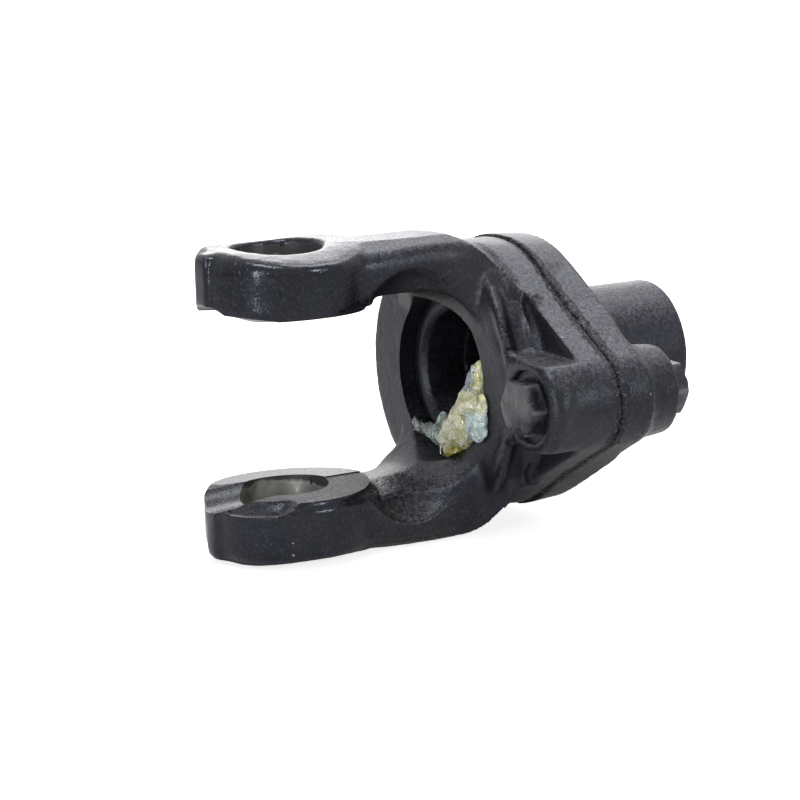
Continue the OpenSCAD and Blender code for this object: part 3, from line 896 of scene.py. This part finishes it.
def addThread(start, end, radius, sizes):
    # one helical ridge over a plain core
    depth = sizes["pitch"] * 0.55
    half = sizes["pitch"] * 0.44
    mesh = bpy.data.meshes.new("ridge")
    mesh.from_pydata([(radius - depth, start, 0), (radius + 0.0001, start + half, 0),
                      (radius - depth, start + 2 * half, 0)], [(0, 1), (1, 2), (2, 0)], [])
    ridge = bpy.data.objects.new("ridge", mesh)
    scene.collection.objects.link(ridge)
    turns = int((end - start) / sizes["pitch"]) - 1
    applyModifier(ridge, "SCREW", axis="Y", screw_offset=-sizes["pitch"], iterations=turns, steps=32,
                  render_steps=32, use_merge_vertices=False)
    pickOnly(ridge)
    bpy.ops.object.mode_set(mode="EDIT")
    bpy.ops.mesh.select_all(action="SELECT")
    bpy.ops.mesh.fill_holes(sides=4)
    bpy.ops.mesh.select_all(action="SELECT")
    bpy.ops.mesh.normals_make_consistent(inside=False)
    bpy.ops.object.mode_set(mode="OBJECT")
    low = min(v.co.y for v in mesh.vertices)
    for vertex in mesh.vertices:
        vertex.co.x += sizes["x"]
        vertex.co.y += start - low
    return ridge


def buildBolt(sizes):
    head = hexagonBody(sizes["headFront"], sizes["seat"], sizes, False)
    radius, middle = sizes["radius"], sizes["threadFrom"]
    shank = addCylinder(radius, sizes["seat"] - 0.001, middle, x=sizes["x"], vertices=64)
    core = addCylinder(radius - sizes["coreGap"], middle - 0.001, sizes["tip"], x=sizes["x"], vertices=64)
    applyModifier(core, "BEVEL", width=sizes["tipBevel"], segments=3, limit_method="ANGLE", angle_limit=0.8)
    thread = addThread(middle + 0.001, sizes["tip"] - 0.0002, radius, sizes)
    bolt = joinPieces([head, shank, core, thread], "shearBolt")
    giveMaterials(bolt, boltPaint)
    smoothShade(bolt, 30)
    finishPiece(bolt, "bolt", "shear_bolt")


def buildNut(sizes):
    front, back, bore = sizes["nutFront"], sizes["nutBack"], sizes["nutBore"]
    nut = nameIt(hexagonBody(front, back, sizes, True), "lockNut")
    cutAway(nut, addCylinder(bore, front - 0.001, back + 0.001, x=sizes["x"], vertices=64))
    cutAway(nut, addCylinder(bore, back - 0.0008, back + 0.0002, x=sizes["x"], vertices=64,
                             endRadius=sizes["nutChamfer"]))
    giveMaterials(nut, boltPaint)
    smoothShade(nut, 30)
    finishPiece(nut, "bolt", "lock_nut")


buildBolt(boltSizes)
buildNut(boltSizes)


# grease in the ring's mouth: lumps that run together, a drop, a smear over the edge and threads
greaseSizes = {
    "voxel": 0.0004, "fineVoxel": 0.0003, "rounds": 4, "wave": 0.0018, "waveSize": 0.0045,
    "folds": 0.0007, "foldSize": 0.0014, "clearOfBore": 0.0284, "journal": 0.0672, "seed": 7,
    # centre and half size of each lump
    "lumps": [
        ((0.0225, 0.0628, 0.0015), (0.0040, 0.0034, 0.0068)),
        ((0.0255, 0.0622, 0.0045), (0.0018, 0.0018, 0.0056)),
        ((0.0205, 0.0620, -0.0065), (0.0066, 0.0052, 0.0068)),
        ((0.0165, 0.0622, -0.0125), (0.0080, 0.0055, 0.0070)),
        ((0.0120, 0.0625, -0.0175), (0.0085, 0.0055, 0.0060)),
        ((0.0065, 0.0628, -0.0212), (0.0080, 0.0045, 0.0045)),
        ((0.0245, 0.0620, -0.0128), (0.0045, 0.0042, 0.0062)),
        ((0.0225, 0.0610, -0.0175), (0.0040, 0.0030, 0.0040)),
        ((-0.0025, 0.0635, -0.0215), (0.0070, 0.0040, 0.0044)),
        ((-0.0095, 0.0638, -0.0216), (0.0060, 0.0030, 0.0034)),
        ((-0.0155, 0.0630, -0.0212), (0.0046, 0.0022, 0.0026)),
        ((-0.0025, 0.0645, -0.0172), (0.0028, 0.0022, 0.0042)),
        ((-0.0180, 0.0618, -0.0192), (0.0018, 0.0014, 0.0018)),
        ((0.0150, 0.0680, -0.0140), (0.0090, 0.0060, 0.0090)),
        ((0.0175, 0.0700, -0.0060), (0.0045, 0.0045, 0.0045)),
    ],
    # smeared over the edge of the mouth, on the ring's front face
    "overEdge": [
        ((0.0276, 0.0608, -0.0108), (0.0042, 0.0022, 0.0060)),
        ((0.0258, 0.0606, -0.0152), (0.0040, 0.0022, 0.0034)),
        ((0.0288, 0.0612, -0.0052), (0.0026, 0.0010, 0.0040)),
        ((0.0298, 0.0612, -0.0135), (0.0022, 0.0012, 0.0022)),
    ],
    "smearBox": ((0.0, 0.05, -0.03), (0.04, 0.0616, 0.01)),
    "drop": ((0.0118, 0.0596, -0.0240), (0.0050, 0.0034, 0.0029)),
    "threadRadius": 0.00022,
    "threads": [
        ((0.0285, 0.0600, 0.0078), (0.0268, 0.0596, 0.0020), (0.0260, 0.0588, -0.0050)),
        ((0.0250, 0.0590, 0.0090), (0.0262, 0.0594, 0.0050), (0.0240, 0.0586, -0.0020)),
        ((0.0225, 0.0588, -0.0055), (0.0245, 0.0576, -0.0110), (0.0232, 0.0570, -0.0165)),
        ((0.0165, 0.0582, -0.0200), (0.0215, 0.0572, -0.0185), (0.0262, 0.0580, -0.0150)),
        ((-0.0165, 0.0612, -0.0180), (-0.0110, 0.0614, -0.0222), (-0.0035, 0.0604, -0.0240)),
        ((-0.0120, 0.0622, -0.0195), (-0.0150, 0.0612, -0.0205), (-0.0170, 0.0604, -0.0222)),
        ((-0.0010, 0.0606, -0.0215), (0.0035, 0.0594, -0.0225), (0.0050, 0.0584, -0.0262)),
        ((0.0055, 0.0586, -0.0262), (0.0100, 0.0568, -0.0262), (0.0150, 0.0572, -0.0236)),
        ((0.0080, 0.0588, -0.0170), (0.0120, 0.0574, -0.0140), (0.0150, 0.0580, -0.0100)),
        ((0.0130, 0.0578, -0.0160), (0.0170, 0.0568, -0.0130), (0.0190, 0.0575, -0.0080)),
    ],
}


def addLump(centre, size):
    bpy.ops.object.select_all(action="DESELECT")
    bpy.ops.mesh.primitive_ico_sphere_add(subdivisions=3, radius=1, location=centre, scale=size)
    lump = bpy.context.active_object
    settle(lump)
    return lump


def addThreads(sizes):
    # thin drawn strands of grease
    chance = random.Random(sizes["seed"])
    strands = []
    for points in sizes["threads"]:
        curve = bpy.data.curves.new("strand", "CURVE")
        curve.dimensions = "3D"
        curve.bevel_depth = sizes["threadRadius"]
        curve.bevel_resolution = 1
        curve.resolution_u = 8
        curve.use_fill_caps = True
        line = curve.splines.new("NURBS")
        line.points.add(len(points) - 1)
        line.order_u = 3
        line.use_endpoint_u = True
        for point, place in zip(line.points, points):
            point.co = (*place, 1)
            point.radius = chance.uniform(0.7, 1.7)
        strand = bpy.data.objects.new("strand", curve)
        scene.collection.objects.link(strand)
        pickOnly(strand)
        bpy.ops.object.convert(target="MESH")
        strands.append(bpy.context.active_object)
    return strands


def meltTogether(pieces, name, voxel, rounds):
    mass = joinPieces(pieces, name)
    applyModifier(mass, "REMESH", mode="VOXEL", voxel_size=voxel)
    applyModifier(mass, "SMOOTH", factor=0.5, iterations=rounds)
    return mass


def buildGrease(sizes):
    lumps = [addLump(*lump) for lump in sizes["lumps"]]
    mass = meltTogether(lumps, "wetGrease", sizes["voxel"], sizes["rounds"])
    ripple(mass, "wave", sizes["waveSize"], sizes["wave"])
    ripple(mass, "folds", sizes["foldSize"], sizes["folds"])
    parts = [mass, addLump(*sizes["drop"])] + addThreads(sizes)
    mass = meltTogether(parts, "wetGrease", sizes["fineVoxel"], 2)
    # it clings to the bore and the journal's end and never goes through them
    cutAway(mass, addCylinder(sizes["clearOfBore"], 0.05, sizes["journal"], vertices=128), "INTERSECT")
    smear = meltTogether([addLump(*lump) for lump in sizes["overEdge"]], "overEdge", sizes["voxel"], 2)
    ripple(smear, "smearWave", sizes["waveSize"], sizes["wave"])
    cutAway(smear, addBox(*sizes["smearBox"]), "INTERSECT")
    grease = joinPieces([mass, smear], "wetGrease")
    giveMaterials(grease, wetGrease)
    smoothShade(grease, 60)
    finishPiece(grease, "grease", "grease_smear")


buildGrease(greaseSizes)


# crumbs of paint and dirt along the joint of the two flanges
seamSizes = {
    "joint": 0.0855, "ring": 0.0463, "lobe": 0.0174, "boltX": 0.059, "crumbs": 1500, "seed": 4,
    "narrow": 0.0003, "wider": 0.0011, "smallest": 0.00022, "largest": 0.0005,
}


def flangeOutline(share, sizes):
    # a point and its outward direction on the teardrop, from the lobe's nose round the ring
    ring, lobe, far = sizes["ring"], sizes["lobe"], sizes["boltX"]
    lean = math.acos((ring - lobe) / far)
    line = math.sqrt(far ** 2 - (ring - lobe) ** 2)

    def arc(x, radius, angle):
        out = Vector((math.cos(angle), 0, math.sin(angle)))
        return Vector((x, 0, 0)) + radius * out, out

    def straight(angle, part):
        start, out = arc(far, lobe, angle)
        return start.lerp(arc(0, ring, angle)[0], part), out

    stretches = [
        (lobe * lean, lambda s: arc(far, lobe, s / lobe)),
        (line, lambda s: straight(lean, s / line)),
        (ring * (2 * math.pi - 2 * lean), lambda s: arc(0, ring, lean + s / ring)),
        (line, lambda s: straight(-lean, 1 - s / line)),
        (lobe * lean, lambda s: arc(far, lobe, s / lobe - lean)),
    ]
    walked = (share % 1.0) * sum(length for length, at in stretches)
    for length, at in stretches[:-1]:
        if walked < length:
            return at(walked)
        walked -= length
    return stretches[-1][1](walked)


def buildSeam(sizes):
    chance = random.Random(sizes["seed"])
    crumbs = []
    bpy.ops.object.select_all(action="DESELECT")
    bpy.ops.mesh.primitive_ico_sphere_add(subdivisions=1, radius=1)
    pattern = bpy.context.active_object
    for number in range(sizes["crumbs"]):
        place, out = flangeOutline(number / sizes["crumbs"] + chance.uniform(-0.001, 0.001), sizes)
        wide = sizes["narrow"] + sizes["wider"] * fade(place.x, 0.005, 0.045)
        size = chance.uniform(sizes["smallest"], sizes["largest"])
        degrees = abs(math.degrees(math.atan2(place.z, place.x)))
        place += out * readTable(flangeSizes["atJoint"], degrees) * milli
        mesh = pattern.data.copy()
        turn = Matrix.Rotation(chance.uniform(0, 6.28), 4, Vector((chance.random(), chance.random(), 1)))
        long, high = chance.uniform(0.7, 1.6), chance.uniform(0.6, 1.2)
        stretch = Matrix.Diagonal((size * long, size * high, size, 1))
        place -= out * chance.uniform(0.0001, 0.0004)
        place.y = sizes["joint"] + chance.gauss(0, wide)
        mesh.transform(Matrix.Translation(place) @ turn @ stretch)
        crumb = bpy.data.objects.new("crumb", mesh)
        scene.collection.objects.link(crumb)
        crumbs.append(crumb)
    bpy.data.objects.remove(pattern)
    seam = joinPieces(crumbs, "seamCrumbs")
    # none stands past the lobe's nose
    for vertex in seam.data.vertices:
        vertex.co.x = min(vertex.co.x, cadHigh[0])
    giveMaterials(seam, seamGrit)
    smoothShade(seam, 80)
    finishPiece(seam, "forging")


buildSeam(seamSizes)


# the retaining ring keeps its CAD shape
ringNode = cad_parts["retaining_ring"]
ringNode.data.materials.clear()
ringNode.data.materials.append(springSteel)
print("pieces ready")


# floor, white background and soft light
stageSizes = {
    "floor": 6.0, "under": 0.0002, "pale": 0.86, "glow": 0.75, "world": 0.34, "aim": (0.01, 0.05, 0),
}
lamps = {
    "topBox": {"place": (0.12, -0.25, 0.90), "size": (0.45, 0.25), "power": 5.5},
    "highBox": {"place": (-0.25, 0.45, 0.85), "size": (0.5, 0.5), "power": 3.5},
    "frontStrip": {"place": (0.50, -0.88, 0.12), "size": (0.08, 0.7), "power": 5.5},
    "sideBox": {"place": (1.05, 0.40, 0.35), "size": (0.25, 0.25), "power": 3.5},
    "backBox": {"place": (-0.95, 0.55, 0.42), "size": (0.6, 0.6), "power": 2.4},
}


def addFloor(sizes):
    # its own colour for every ray, and a glow besides for the camera
    bpy.ops.object.select_all(action="DESELECT")
    bpy.ops.mesh.primitive_plane_add(size=sizes["floor"], location=(0, 0, cadLow[2] - sizes["under"]))
    floor = nameIt(bpy.context.active_object, "floor")
    f = Finish("paleFloor")
    both = f.nodes.new("ShaderNodeMixShader")
    lit = f.add("ShaderNodeAddShader")
    glow = f.add("ShaderNodeEmission", {"Color": (1, 1, 1, 1), "Strength": sizes["glow"]})
    f.wire(Base_Color=(sizes["pale"],) * 3 + (1,), Roughness=0.9, Specular_IOR_Level=0.1)
    rays = f.add("ShaderNodeLightPath")
    f.links.new(f.shader.outputs[0], lit.inputs[0])
    f.links.new(glow.outputs[0], lit.inputs[1])
    f.links.new(rays.outputs["Is Camera Ray"], both.inputs[0])
    f.links.new(f.shader.outputs[0], both.inputs[1])
    f.links.new(lit.outputs[0], both.inputs[2])
    f.links.new(both.outputs[0], f.nodes["Material Output"].inputs["Surface"])
    floor.data.materials.append(f.material)


def addWorld(sizes):
    # white where it is seen, straight, mirrored or through something, and dimmer as a light
    world = bpy.data.worlds.new("studio")
    scene.world = world
    world.use_nodes = True
    nodes, links = world.node_tree.nodes, world.node_tree.links
    dim, white = nodes["Background"], nodes.new("ShaderNodeBackground")
    for shade, strength in ((dim, sizes["world"]), (white, 1.0)):
        shade.inputs["Color"].default_value = (1, 1, 1, 1)
        shade.inputs["Strength"].default_value = strength
    rays = nodes.new("ShaderNodeLightPath")
    seen = rays.outputs["Is Camera Ray"]
    for way in ("Is Glossy Ray", "Is Transmission Ray"):
        either = nodes.new("ShaderNodeMath")
        either.operation = "MAXIMUM"
        links.new(seen, either.inputs[0])
        links.new(rays.outputs[way], either.inputs[1])
        seen = either.outputs[0]
    pick = nodes.new("ShaderNodeMixShader")
    links.new(seen, pick.inputs[0])
    links.new(dim.outputs[0], pick.inputs[1])
    links.new(white.outputs[0], pick.inputs[2])
    links.new(pick.outputs[0], nodes["World Output"].inputs["Surface"])


def addLamp(name, place, size, power):
    # an oval sheet of light that faces the middle of the object
    data = bpy.data.lights.new(name, "AREA")
    data.shape = "ELLIPSE"
    data.size, data.size_y = size
    data.energy = power
    lamp = bpy.data.objects.new(name, data)
    scene.collection.objects.link(lamp)
    lamp.location = place
    ahead = Vector(stageSizes["aim"]) - Vector(place)
    lamp.rotation_euler = ahead.to_track_quat("-Z", "Y").to_euler()


addFloor(stageSizes)
addWorld(stageSizes)
for name, lamp in lamps.items():
    addLamp(name, **lamp)
print("stage ready")
